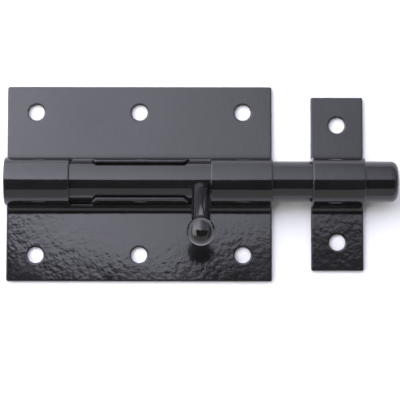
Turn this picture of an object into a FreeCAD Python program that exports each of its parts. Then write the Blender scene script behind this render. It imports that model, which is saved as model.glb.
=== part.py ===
"""Turn-to-lock sliding barrel bolt with a strap keeper, in millimetres.

A round bolt lies in a tunnel pressed out of its back plate. A ball-ended handle stands out of the bolt. It
drops up or down into a notch at either end of the tunnel's front window, and there the window's two curved
lips stop the bolt from sliding. Pointing forward, the handle passes between the lips.

Frame: +X along the bolt towards its nose, +Y up, +Z out of the door. The origin is the middle of the plate's
back face, and both back faces lie in z = 0. The bolt is thrown, and its handle is lifted just clear of the
lower lip, so that the bolt is free to slide.
"""

import math
import os

from FreeCAD import Vector
import Part

# Sheet metal, the same in the plate and the keeper
SHEET = 1.25
BEND_RADIUS = 2.5
EDGE_ROUND = 0.35
CORNER_RADIUS = 0.7
SCREW_HOLE_RADIUS = 3.15

# Bolt and handle
BOLT_RADIUS = 8.0
BOLT_FLOAT = 0.15
BOLT_AXIS_HEIGHT = 8.5
NOSE_REACH = 49.5
NOSE_ROUND = 2.8
NOSE_DOME_RADIUS = 30.0
TAIL_INSET = 1.0
TAIL_ROUND = 1.0
STEM_RADIUS = 3.55
STEM_FULL_FROM = 9.2
SADDLE_GAP = 0.05
KNOB_RADIUS = 5.3
KNOB_DISTANCE = 46.1
KNOB_FLARE_FROM = 39.4
HANDLE_SIDE_GAP = 0.2
HANDLE_LEAN = 30.0

# Back plate with its tunnel
PLATE_LENGTH = 104.5
PLATE_HEIGHT = 77.2
LEFT_SLEEVE = 25.4
RIGHT_SLEEVE = 24.2
NOTCH_LENGTH = 8.7
NOTCH_DEPTH = 3.75
LIP_HALF_GAP = 52.0
LIP_CHAMFER_ALONG = 1.4
LIP_CHAMFER_AROUND = 2.2
WINDOW_CORNER_RADIUS = 0.5
HOLE_COLUMN = 40.8
HOLE_ROW = 28.3

# Keeper
KEEPER_MIDDLE = 78.0
KEEPER_WIDTH = 20.6
KEEPER_HEIGHT = 68.8
KEEPER_HOLE_ROW = 23.25

# Worked out
TUNNEL_INNER = BOLT_RADIUS + BOLT_FLOAT
TUNNEL_OUTER = TUNNEL_INNER + SHEET
BEND_MIDDLE = TUNNEL_OUTER + BEND_RADIUS
PLATE_END = PLATE_LENGTH / 2
WINDOW_LEFT = -PLATE_END + LEFT_SLEEVE
WINDOW_RIGHT = PLATE_END - RIGHT_SLEEVE
HANDLE_X = WINDOW_RIGHT - HANDLE_SIDE_GAP - STEM_RADIUS
BOLT_TRAVEL = WINDOW_RIGHT - WINDOW_LEFT - 2 * (STEM_RADIUS + HANDLE_SIDE_GAP)
NOSE_X = PLATE_END + NOSE_REACH
TAIL_X = -PLATE_END + TAIL_INSET

# How far a cutter reaches past the sheet, the slack when points are compared, and the angle in degrees from
# which two faces make a sharp edge
PAST = 1.0
NEAR = 1e-3
SHARP_FROM = 25.0

ALONG_X = Vector(1, 0, 0)
ALONG_Z = Vector(0, 0, 1)
AXIS_POINT = Vector(0, 0, BOLT_AXIS_HEIGHT)


def arc_through(start, middle, end):
    return Part.Arc(start, middle, end).toShape()


def line(start, end):
    return Part.LineSegment(start, end).toShape()


def on_circle(centre, radius, degrees, x):
    """A point at this angle from +Y towards +Z, in the plane across the bolt at x."""
    angle = math.radians(degrees)
    return Vector(x, centre[0] + radius * math.cos(angle), centre[1] + radius * math.sin(angle))


def omega_section(height, x):
    """The sheet's closed outline across the bolt: two flanges, joined by bends and walls to a round crown."""
    axis = (0.0, BOLT_AXIS_HEIGHT)
    bend_height = SHEET + BEND_RADIUS
    edges = []

    def arc(centre, radius, angles):
        points = [on_circle(centre, radius, angle, x) for angle in angles]
        edges.append(arc_through(*points))
        return points

    def face_path(crown_radius, bend_radius, level):
        """One face of the sheet, from the upper flange's edge over the crown to the lower flange's."""
        upper_edge = Vector(x, height / 2, level)
        lower_edge = Vector(x, -height / 2, level)
        upper_bend = arc((BEND_MIDDLE, bend_height), bend_radius, (270, 225, 180))
        crown = arc(axis, crown_radius, (0, 90, 180))
        lower_bend = arc((-BEND_MIDDLE, bend_height), bend_radius, (0, 315, 270))
        edges.append(line(upper_edge, upper_bend[0]))
        edges.append(line(upper_bend[-1], crown[0]))
        edges.append(line(crown[-1], lower_bend[0]))
        edges.append(line(lower_bend[-1], lower_edge))
        return upper_edge, lower_edge

    front_upper, front_lower = face_path(TUNNEL_OUTER, BEND_RADIUS, SHEET)
    back_upper, back_lower = face_path(TUNNEL_INNER, BEND_RADIUS + SHEET, 0.0)
    edges.append(line(front_upper, back_upper))
    edges.append(line(front_lower, back_lower))
    return Part.Wire(Part.__sortEdges__(edges))


def omega_strap(x_from, length, height):
    return Part.Face(omega_section(height, x_from)).extrude(ALONG_X * length)


def rounded_corners(sheet, x_from, x_to, height):
    """Rounds the four corners of the flanges, as seen from the front."""
    def at_corner(edge):
        points = [v.Point for v in edge.Vertexes]
        at_end = all(min(abs(p.x - x_from), abs(p.x - x_to)) < NEAR for p in points)
        at_side = all(abs(abs(p.y) - height / 2) < NEAR for p in points)
        return at_end and at_side and abs(points[0].z - points[-1].z) > SHEET / 2

    return sheet.makeFillet(CORNER_RADIUS, [e for e in sheet.Edges if at_corner(e)])


def screw_holes(places):
    hole = Part.makeCylinder(SCREW_HOLE_RADIUS, SHEET + 2 * PAST, Vector(0, 0, -PAST))
    return [hole.translated(Vector(x, y, 0)) for x, y in places]


def prism_along_x(points, x_from, length):
    corners = [Vector(x_from, y, z) for y, z in points]
    return Part.Face(Part.makePolygon(corners + corners[:1])).extrude(ALONG_X * length)


def slot_between_lips():
    """A wedge about the bolt's axis that parts the crown all along the window, so the lips end square."""
    top = 2 * TUNNEL_OUTER
    spread = top * math.tan(math.radians(LIP_HALF_GAP))
    base = BOLT_AXIS_HEIGHT
    wedge = [(0, base), (spread, base + top), (-spread, base + top)]
    return prism_along_x(wedge, WINDOW_LEFT, WINDOW_RIGHT - WINDOW_LEFT)


def notches():
    width = 2 * (TUNNEL_OUTER + PAST)
    floor = BOLT_AXIS_HEIGHT - NOTCH_DEPTH
    block = Part.makeBox(NOTCH_LENGTH, width, 2 * TUNNEL_OUTER, Vector(0, -width / 2, floor))
    return [block.translated(ALONG_X * x) for x in (WINDOW_LEFT, WINDOW_RIGHT - NOTCH_LENGTH)]


def lip_corner_cuts():
    """Cuts the tip corner off each end of each lip, square to the sheet."""
    around = math.radians(LIP_HALF_GAP) + LIP_CHAMFER_AROUND / (TUNNEL_INNER + TUNNEL_OUTER)
    ends = ((WINDOW_LEFT + NOTCH_LENGTH, 1), (WINDOW_RIGHT - NOTCH_LENGTH, -1))
    cuts = []
    for end, inward in ends:
        for side in (1, -1):
            outward = Vector(0, side * math.sin(around), math.cos(around))
            to_wall = Vector(0, side * math.cos(around), -math.sin(around))
            start = AXIS_POINT + outward * (TUNNEL_INNER - SHEET) + ALONG_X * end
            at_end = start + to_wall * (LIP_CHAMFER_AROUND / 2)
            at_tip = start - to_wall * (LIP_CHAMFER_AROUND / 2) + ALONG_X * (inward * LIP_CHAMFER_ALONG)
            slope = at_end - at_tip
            corner = at_tip - slope
            corner.x = (at_end + slope).x
            outline = Part.makePolygon([at_end + slope, at_tip - slope, corner, at_end + slope])
            cuts.append(Part.Face(outline).extrude(outward * (3 * SHEET)))
    return cuts


def rounded_window(plate):
    """Rounds the corners of the window's outline: the notches' feet and the lips' cut-off corners."""
    def depth(point):
        return math.hypot(point.y, max(point.z - BOLT_AXIS_HEIGHT, 0.0))

    def crosses_sheet(edge):
        points = [v.Point for v in edge.Vertexes]
        if len(points) != 2 or max(abs(p.x) for p in points) > PLATE_END - PAST:
            return False
        depths = sorted(depth(p) for p in points)
        return abs(depths[0] - TUNNEL_INNER) < NEAR and abs(depths[1] - TUNNEL_OUTER) < NEAR

    return plate.makeFillet(WINDOW_CORNER_RADIUS, [e for e in plate.Edges if crosses_sheet(e)])


def is_sharp(edge, shape):
    """True where the two faces on an edge meet at more than the sharp angle."""
    faces = shape.ancestorsOfType(edge, Part.Face)
    if len(faces) != 2:
        return False
    first, last = edge.ParameterRange
    point = edge.valueAt((first + last) / 2)
    normals = []
    for face in faces:
        u, v = face.Surface.parameter(point)
        normals.append(face.normalAt(u, v))
    return normals[0].getAngle(normals[1]) > math.radians(SHARP_FROM)


def softened(shape, radius):
    """Rounds every sharp edge, as sheared sheet is under its paint."""
    return shape.makeFillet(radius, [e for e in shape.Edges if is_sharp(e, shape)])


def back_plate():
    plate = omega_strap(-PLATE_END, PLATE_LENGTH, PLATE_HEIGHT)
    plate = rounded_corners(plate, -PLATE_END, PLATE_END, PLATE_HEIGHT)
    places = [(x, y) for x in (-HOLE_COLUMN, 0, HOLE_COLUMN) for y in (-HOLE_ROW, HOLE_ROW)]
    cuts = screw_holes(places) + [slot_between_lips()] + notches() + lip_corner_cuts()
    plate = rounded_window(plate.cut(cuts).removeSplitter())
    return softened(plate, EDGE_ROUND)


def keeper():
    left = KEEPER_MIDDLE - KEEPER_WIDTH / 2
    strap = omega_strap(left, KEEPER_WIDTH, KEEPER_HEIGHT)
    strap = rounded_corners(strap, left, left + KEEPER_WIDTH, KEEPER_HEIGHT)
    strap = strap.cut(screw_holes([(KEEPER_MIDDLE, y) for y in (-KEEPER_HOLE_ROW, KEEPER_HOLE_ROW)]))
    return softened(strap, EDGE_ROUND)


def bolt_rod():
    """A round bar, turned about its axis: a low domed nose, and a flat tail with a small round."""
    def at(x, radius):
        return Vector(x, 0, BOLT_AXIS_HEIGHT + radius)

    dome_centre = NOSE_X - NOSE_DOME_RADIUS
    corner_radius = BOLT_RADIUS - NOSE_ROUND
    tilt = math.asin(corner_radius / (NOSE_DOME_RADIUS - NOSE_ROUND))
    corner_x = dome_centre + (NOSE_DOME_RADIUS - NOSE_ROUND) * math.cos(tilt)

    def on_dome(angle):
        return at(dome_centre + NOSE_DOME_RADIUS * math.cos(angle), NOSE_DOME_RADIUS * math.sin(angle))

    def on_corner(angle):
        return at(corner_x + NOSE_ROUND * math.cos(angle), corner_radius + NOSE_ROUND * math.sin(angle))

    def on_tail(angle):
        x = TAIL_X + TAIL_ROUND * (1 - math.sin(angle))
        return at(x, BOLT_RADIUS - TAIL_ROUND * (1 - math.cos(angle)))

    outline = [
        line(at(TAIL_X, 0), on_tail(math.pi / 2)),
        arc_through(on_tail(math.pi / 2), on_tail(math.pi / 4), on_tail(0)),
        line(on_tail(0), on_corner(math.pi / 2)),
        arc_through(on_corner(math.pi / 2), on_corner((math.pi / 2 + tilt) / 2), on_corner(tilt)),
        arc_through(on_dome(tilt), on_dome(tilt / 2), on_dome(0)),
        line(at(NOSE_X, 0), at(TAIL_X, 0)),
    ]
    return Part.Face(Part.Wire(outline)).revolve(AXIS_POINT, ALONG_X, 360)


def handle():
    """A round stem with a coned root, flaring smoothly into a ball, with a saddle that sits on the bolt."""
    root = BOLT_RADIUS - SHEET
    root_radius = STEM_RADIUS - (STEM_FULL_FROM - root)
    to_flare = KNOB_DISTANCE - KNOB_FLARE_FROM
    flare = (to_flare**2 + STEM_RADIUS**2 - KNOB_RADIUS**2) / (2 * (KNOB_RADIUS - STEM_RADIUS))
    flare_angle = math.atan2(to_flare, STEM_RADIUS + flare)

    def at(distance, radius):
        return Vector(HANDLE_X + radius, 0, BOLT_AXIS_HEIGHT + distance)

    def on_flare(angle):
        return at(KNOB_FLARE_FROM + flare * math.sin(angle), STEM_RADIUS + flare * (1 - math.cos(angle)))

    def on_knob(angle):
        return at(KNOB_DISTANCE - KNOB_RADIUS * math.sin(angle), KNOB_RADIUS * math.cos(angle))

    outline = [
        line(at(root, 0), at(root, root_radius)),
        line(at(root, root_radius), at(STEM_FULL_FROM, STEM_RADIUS)),
        line(at(STEM_FULL_FROM, STEM_RADIUS), at(KNOB_FLARE_FROM, STEM_RADIUS)),
        arc_through(on_flare(0), on_flare(flare_angle / 2), on_flare(flare_angle)),
        arc_through(on_knob(flare_angle), on_knob((flare_angle - math.pi / 2) / 2), on_knob(-math.pi / 2)),
        line(at(KNOB_DISTANCE + KNOB_RADIUS, 0), at(root, 0)),
    ]
    upright = Part.Face(Part.Wire(outline)).revolve(at(0, 0), ALONG_Z, 360)
    bar = Part.makeCylinder(BOLT_RADIUS + SADDLE_GAP, 2 * TUNNEL_OUTER, at(0, -TUNNEL_OUTER), ALONG_X)
    piece = upright.cut(bar)
    piece.rotate(AXIS_POINT, ALONG_X, HANDLE_LEAN)
    return piece


def main():
    os.makedirs("parts", exist_ok=True)
    pieces = {
        "back_plate": back_plate(),
        "bolt_rod": bolt_rod(),
        "handle": handle(),
        "keeper": keeper(),
    }
    for name, shape in pieces.items():
        if len(shape.Solids) != 1 or not shape.isValid():
            raise SystemExit(f"{name} is not one valid solid")
        shape.Solids[0].exportStep(f"parts/{name}.step")
        box = shape.BoundBox
        print(f"{name}: volume {shape.Volume:.1f}, x {box.XMin:.2f} to {box.XMax:.2f}, "
              f"y {box.YMin:.2f} to {box.YMax:.2f}, z {box.ZMin:.2f} to {box.ZMax:.2f}")
    print(f"handle at x {HANDLE_X:.3f}, bolt travel {BOLT_TRAVEL:.3f}")


main()
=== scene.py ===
"""Looks of the turn-to-lock barrel bolt: gloss black paint on sheet and on bar, in soft studio light.

Lengths are in metres unless a name says otherwise.
"""

import math

import bpy
from mathutils import Matrix, Vector


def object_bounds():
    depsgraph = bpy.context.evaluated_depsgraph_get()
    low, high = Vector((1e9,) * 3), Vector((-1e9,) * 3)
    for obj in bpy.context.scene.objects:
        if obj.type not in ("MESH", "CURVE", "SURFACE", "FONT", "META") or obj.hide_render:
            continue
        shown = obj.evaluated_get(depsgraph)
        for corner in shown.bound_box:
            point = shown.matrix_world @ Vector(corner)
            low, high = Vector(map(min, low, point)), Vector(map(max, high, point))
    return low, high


UNIT = (0.0, 1.0)
WHITE = (1.0, 1.0, 1.0)

# Camera
CAMERA_TARGET = Vector((0.02396, -0.00636, 0.0))
CAMERA_DISTANCE = 0.778
CAMERA_ELEVATION = math.radians(84.06)
CAMERA_AZIMUTH = math.radians(-0.2)
CAMERA_ROLL = math.radians(0.27)
FOCAL_LENGTH_MM = 177.2
SENSOR_WIDTH_MM = 36
CLIP_START = 0.05

# Floor and world
FLOOR_HALF = 1.8
FLOOR_GAP = 0.0002
FLOOR_COLOR = (0.9, 0.9, 0.9)
FLOOR_ROUGHNESS = 0.9
WORLD_STRENGTH = 0.1
BACKDROP_STRENGTH = 1.0

# Softbox walls round the floor. A radiance pair is a wall's radiance at the left end and at the right end of
# its span. Above the dimming heights a graded wall has all of it, and below them only its foot share.
DIMMING_HEIGHTS = (0.2, 0.9)
KEY_RADIANCE = (4.8, 1.2)
KEY_HALF_SPAN = 0.26
KEY_FOOT_SHARE = 0.6
KEY_TINT = (0.97, 0.97, 1.13)
KEY_HEIGHT = 1.0
FILL_RADIANCE = 0.8
FILL_HEIGHT = 0.9
FILL_TOP_Y = -0.93
LEFT_RADIANCE = (3.8, 3.8)
LEFT_HEIGHT = 2.2
RIGHT_RADIANCE = (0.7, 0.7)
RIGHT_HEIGHT = 1.3
SIDE_FOOT_SHARE = 0.25

# The key wall's top edge as points (x, y). Its reflection is where the light ends on the lower flanges.
KEY_EDGE = [
    (-1.80, 0.14),
    (-0.30, 0.12),
    (-0.15, 0.068),
    (-0.11, 0.05),
    (-0.06, 0.018),
    (0.00, 0.012),
    (0.03, 0.03),
    (0.06, 0.055),
    (0.15, 0.062),
    (1.80, 0.1),
]

# Colour of the paint, its drift in tone, and how much of the thin paint shows on the edge rounds
BLACK = (0.006, 0.006, 0.0066)
THIN_PAINT = (0.06, 0.06, 0.063)
TONE_SHARES = (0.75, 1.35)
THIN_SHARES = (0.1, 1.0)
PAINT_IOR = 1.52

# Roughness: a base that drifts, and what grit and thin paint add to it
BASE_ROUGHNESS = (0.06, 0.11)
GRIT_ROUGHNESS = (0.0, 0.05)
THIN_ROUGHNESS = (0.0, 0.15)

# Noise in the paint: the size of its waves, its octaves, and the band of its values that is used
CLOUD_SIZE = 0.018
THIN_SIZE = 0.003
GRIT_SIZE = 0.00022
FINE_OCTAVES = 3.0
GRIT_NOISE_ROUGHNESS = 0.65
TONE_BAND = (0.35, 0.65)
THIN_BAND = (0.35, 0.7)
BASE_BAND = (0.3, 0.7)
GRIT_BAND = (0.45, 0.75)

# Edge rounds: how wide they look, and the cosines of the turn of the normal where the paint starts to be thin
# and where it is thinnest
EDGE_WIDTH = 0.0009
EDGE_SAMPLES = 8
EDGE_COSINES = (0.99, 0.90)

# Relief: orange peel over a flow ripple, over a warp of the metal. The ripple's waves are longer than the
# peel's by this factor, and the stretch scales the frequency of all waves along each axis.
RIPPLE_PER_PEEL = 5
WARP_SIZE = 0.045
WARP_OCTAVES = 0.0
PEEL_OCTAVES = 1.0
SHEET_RELIEF = {
    "stretch": (1.0, 1.0, 1.0),
    "peel_size": 0.0019,
    "peel_depth": 0.000026,
    "ripple_depth": 0.00003,
    "warp_depth": 0.0005,
}
BAR_RELIEF = {
    "stretch": (0.35, 1.0, 1.0),
    "peel_size": 0.0022,
    "peel_depth": 0.000012,
    "ripple_depth": 0.00003,
    "warp_depth": 0.0001,
}


def new_material(name):
    """A material with an empty node tree."""
    material = bpy.data.materials.new(name)
    material.use_nodes = True
    material.node_tree.nodes.clear()
    return material


def node(tree, kind, **values):
    """A shader node with these socket values. A key with spaces is written with underscores."""
    made = tree.nodes.new(kind)
    for key, value in values.items():
        made.inputs[key.replace("_", " ")].default_value = value
    return made


def show(tree, shader):
    """Makes this shader output the material's surface."""
    output = tree.nodes.new("ShaderNodeOutputMaterial")
    tree.links.new(shader, output.inputs["Surface"])


def noise(tree, where, size, octaves, roughness=0.5):
    """Noise whose waves are about this size."""
    made = node(tree, "ShaderNodeTexNoise", Scale=1 / size, Detail=octaves, Roughness=roughness)
    tree.links.new(where, made.inputs["Vector"])
    return made.outputs["Fac"]


def remap(tree, value, source, target):
    """Spreads the source pair over the target pair in a straight line, and clamps what lies outside."""
    made = node(
        tree,
        "ShaderNodeMapRange",
        From_Min=source[0],
        From_Max=source[1],
        To_Min=target[0],
        To_Max=target[1],
    )
    tree.links.new(value, made.inputs["Value"])
    return made.outputs["Result"]


def combine(tree, operation, first, second):
    """Two numbers added or multiplied."""
    made = tree.nodes.new("ShaderNodeMath")
    made.operation = operation
    tree.links.new(first, made.inputs[0])
    tree.links.new(second, made.inputs[1])
    return made.outputs["Value"]


def mix(tree, factor):
    """A mix of two colours by the factor. Its colours A and B are still to be set."""
    made = tree.nodes.new("ShaderNodeMix")
    made.data_type = "RGBA"
    tree.links.new(factor, made.inputs["Factor"])
    return made


def bump(tree, height, depth, normal):
    """The normal with this relief added: the height runs over this depth."""
    made = node(tree, "ShaderNodeBump", Distance=depth)
    tree.links.new(height, made.inputs["Height"])
    tree.links.new(normal, made.inputs["Normal"])
    return made.outputs["Normal"]


def edge_mask(tree, widened):
    """1 on the rounds between faces and 0 on the faces, from how far a widened round turns the normal."""
    turned = tree.nodes.new("ShaderNodeVectorMath")
    turned.operation = "DOT_PRODUCT"
    tree.links.new(widened, turned.inputs[0])
    tree.links.new(tree.nodes.new("ShaderNodeNewGeometry").outputs["Normal"], turned.inputs[1])
    return remap(tree, turned.outputs["Value"], EDGE_COSINES, UNIT)


def paint_color(tree, cloud, thin):
    """Black that drifts in tone with the clouds, and is greyer where the paint is thin."""
    tone = mix(tree, remap(tree, cloud, TONE_BAND, UNIT))
    for socket, share in zip("AB", TONE_SHARES):
        tone.inputs[socket].default_value = (*[share * channel for channel in BLACK], 1)
    color = mix(tree, thin)
    tree.links.new(tone.outputs["Result"], color.inputs["A"])
    color.inputs["B"].default_value = (*THIN_PAINT, 1)
    return color.outputs["Result"]


def paint_roughness(tree, place, cloud, thin):
    """Gloss that drifts with the clouds, has fine grit in it, and is duller where the paint is thin."""
    grit = noise(tree, place, GRIT_SIZE, FINE_OCTAVES, GRIT_NOISE_ROUGHNESS)
    base = remap(tree, cloud, BASE_BAND, BASE_ROUGHNESS)
    gritty = combine(tree, "ADD", base, remap(tree, grit, GRIT_BAND, GRIT_ROUGHNESS))
    return combine(tree, "ADD", gritty, remap(tree, thin, UNIT, THIN_ROUGHNESS))


def paint_normal(tree, place, widened, relief):
    """The widened edge rounds under a warp, a flow ripple and orange peel."""
    stretched = node(tree, "ShaderNodeMapping", Scale=relief["stretch"])
    tree.links.new(place, stretched.inputs["Vector"])
    where = stretched.outputs["Vector"]
    peel_size = relief["peel_size"]
    normal = widened
    for size, octaves, depth in (
        (WARP_SIZE, WARP_OCTAVES, relief["warp_depth"]),
        (RIPPLE_PER_PEEL * peel_size, PEEL_OCTAVES, relief["ripple_depth"]),
        (peel_size, PEEL_OCTAVES, relief["peel_depth"]),
    ):
        normal = bump(tree, noise(tree, where, size, octaves), depth, normal)
    return normal


def paint(name, relief):
    """Gloss black paint on steel."""
    material = new_material(name)
    tree = material.node_tree
    place = tree.nodes.new("ShaderNodeTexCoord").outputs["Object"]
    bevel = node(tree, "ShaderNodeBevel", Radius=EDGE_WIDTH)
    bevel.samples = EDGE_SAMPLES
    widened = bevel.outputs["Normal"]
    cloud = noise(tree, place, CLOUD_SIZE, FINE_OCTAVES)
    patches = remap(tree, noise(tree, place, THIN_SIZE, FINE_OCTAVES), THIN_BAND, THIN_SHARES)
    thin = combine(tree, "MULTIPLY", edge_mask(tree, widened), patches)

    surface = node(tree, "ShaderNodeBsdfPrincipled", Metallic=0.0, IOR=PAINT_IOR)
    tree.links.new(paint_color(tree, cloud, thin), surface.inputs["Base Color"])
    tree.links.new(paint_roughness(tree, place, cloud, thin), surface.inputs["Roughness"])
    tree.links.new(paint_normal(tree, place, widened, relief), surface.inputs["Normal"])
    show(tree, surface.outputs["BSDF"])
    return material


def give(cad_node, material):
    """Makes this the CAD node's only material."""
    cad_node.data.materials.clear()
    cad_node.data.materials.append(material)


def stage_mesh(name, points, faces, material):
    """A mesh that belongs to the studio and not to the object."""
    mesh = bpy.data.meshes.new(name)
    mesh.from_pydata(points, [], faces)
    mesh.materials.append(material)
    made = bpy.data.objects.new(name, mesh)
    bpy.context.scene.collection.objects.link(made)
    return made


def make_floor(height):
    """A plain pale floor at this height."""
    material = new_material("studio_floor")
    tree = material.node_tree
    surface = node(
        tree,
        "ShaderNodeBsdfPrincipled",
        Base_Color=(*FLOOR_COLOR, 1),
        Roughness=FLOOR_ROUGHNESS,
    )
    show(tree, surface.outputs["BSDF"])
    ends = ((-1, -1), (1, -1), (1, 1), (-1, 1))
    corners = [(FLOOR_HALF * x, FLOOR_HALF * y, height) for x, y in ends]
    stage_mesh("floor", corners, [(0, 1, 2, 3)], material)


def make_world():
    """A dim white world that only the camera sees as bright."""
    world = bpy.data.worlds.new("studio")
    bpy.context.scene.world = world
    world.use_nodes = True
    tree = world.node_tree
    background = tree.nodes["Background"]
    background.inputs["Color"].default_value = (*WHITE, 1)
    seen = tree.nodes.new("ShaderNodeLightPath").outputs["Is Camera Ray"]
    strength = remap(tree, seen, UNIT, (WORLD_STRENGTH, BACKDROP_STRENGTH))
    tree.links.new(strength, background.inputs["Strength"])


def even_glow(name, radiance):
    """Softbox cloth of one radiance."""
    material = new_material(name)
    tree = material.node_tree
    glow = node(tree, "ShaderNodeEmission", Color=(*WHITE, 1), Strength=radiance)
    show(tree, glow.outputs["Emission"])
    return material


def graded_glow(name, radiance, half_span, foot_share, tint):
    """Softbox cloth whose radiance runs from a left value to a right one along X, and dims at the foot."""
    material = new_material(name)
    tree = material.node_tree
    split = tree.nodes.new("ShaderNodeSeparateXYZ")
    tree.links.new(tree.nodes.new("ShaderNodeTexCoord").outputs["Object"], split.inputs["Vector"])
    along = remap(tree, split.outputs["X"], (-half_span, half_span), radiance)
    upward = remap(tree, split.outputs["Z"], DIMMING_HEIGHTS, (foot_share, 1.0))
    glow = node(tree, "ShaderNodeEmission", Color=(*tint, 1))
    tree.links.new(combine(tree, "MULTIPLY", along, upward), glow.inputs["Strength"])
    show(tree, glow.outputs["Emission"])
    return material


def softbox(name, first_edge, second_edge, material):
    """A wall between two edges with as many points each. The camera doesn't see it, so it hides nothing."""
    count = len(first_edge)
    faces = [(i, i + 1, count + i + 1, count + i) for i in range(count - 1)]
    wall = stage_mesh(name, [*first_edge, *second_edge], faces, material)
    wall.visible_camera = False


def make_walls():
    """The key wall leans in from the back edge of the floor to above the piece. The fill wall leans in from
    the front edge, and the side walls stand upright."""
    key_top = [(x, y, KEY_HEIGHT) for x, y in KEY_EDGE]
    key_foot = [(x, FLOOR_HALF, 0.0) for x, _ in KEY_EDGE]
    key_cloth = graded_glow("key_wall", KEY_RADIANCE, KEY_HALF_SPAN, KEY_FOOT_SHARE, KEY_TINT)
    softbox("key_wall", key_top, key_foot, key_cloth)

    fill_top = [(x, FILL_TOP_Y, FILL_HEIGHT) for x in (-FLOOR_HALF, FLOOR_HALF)]
    fill_foot = [(x, -FLOOR_HALF, 0.0) for x in (-FLOOR_HALF, FLOOR_HALF)]
    softbox("fill_wall", fill_top, fill_foot, even_glow("fill_wall", FILL_RADIANCE))

    for name, x, height, radiance in (
        ("left_wall", -FLOOR_HALF, LEFT_HEIGHT, LEFT_RADIANCE),
        ("right_wall", FLOOR_HALF, RIGHT_HEIGHT, RIGHT_RADIANCE),
    ):
        foot = [(x, y, 0.0) for y in (-FLOOR_HALF, FLOOR_HALF)]
        top = [(x, y, height) for y in (-FLOOR_HALF, FLOOR_HALF)]
        softbox(name, foot, top, graded_glow(name, radiance, FLOOR_HALF, SIDE_FOOT_SHARE, WHITE))


def make_camera():
    """The camera stands back from its target, a little in front of straight above it."""
    data = bpy.data.cameras.new("camera")
    data.lens = FOCAL_LENGTH_MM
    data.sensor_width = SENSOR_WIDTH_MM
    data.clip_start = CLIP_START
    camera = bpy.data.objects.new("camera", data)
    bpy.context.scene.collection.objects.link(camera)
    flat = math.cos(CAMERA_ELEVATION)
    back = Vector(
        (
            math.sin(CAMERA_AZIMUTH) * flat,
            -math.cos(CAMERA_AZIMUTH) * flat,
            math.sin(CAMERA_ELEVATION),
        )
    )
    camera.location = CAMERA_TARGET + CAMERA_DISTANCE * back
    roll = Matrix.Rotation(CAMERA_ROLL, 3, "Z").to_quaternion()
    camera.rotation_euler = (back.to_track_quat("Z", "Y") @ roll).to_euler()
    bpy.context.scene.camera = camera


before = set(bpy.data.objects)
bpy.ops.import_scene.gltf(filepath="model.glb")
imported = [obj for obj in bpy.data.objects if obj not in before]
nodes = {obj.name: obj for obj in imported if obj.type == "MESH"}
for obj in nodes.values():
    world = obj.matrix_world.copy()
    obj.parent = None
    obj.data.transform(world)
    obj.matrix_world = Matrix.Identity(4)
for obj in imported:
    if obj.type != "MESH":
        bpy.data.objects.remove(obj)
cad_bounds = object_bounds()

sheet_paint = paint("sheet_paint", SHEET_RELIEF)
bar_paint = paint("bar_paint", BAR_RELIEF)
for name, material in (
    ("back_plate", sheet_paint),
    ("keeper", sheet_paint),
    ("bolt_rod", bar_paint),
    ("handle", bar_paint),
):
    give(nodes[name], material)

make_floor(cad_bounds[0][2] - FLOOR_GAP)
make_world()
make_walls()
make_camera()
bpy.context.scene.view_settings.view_transform = "Standard"
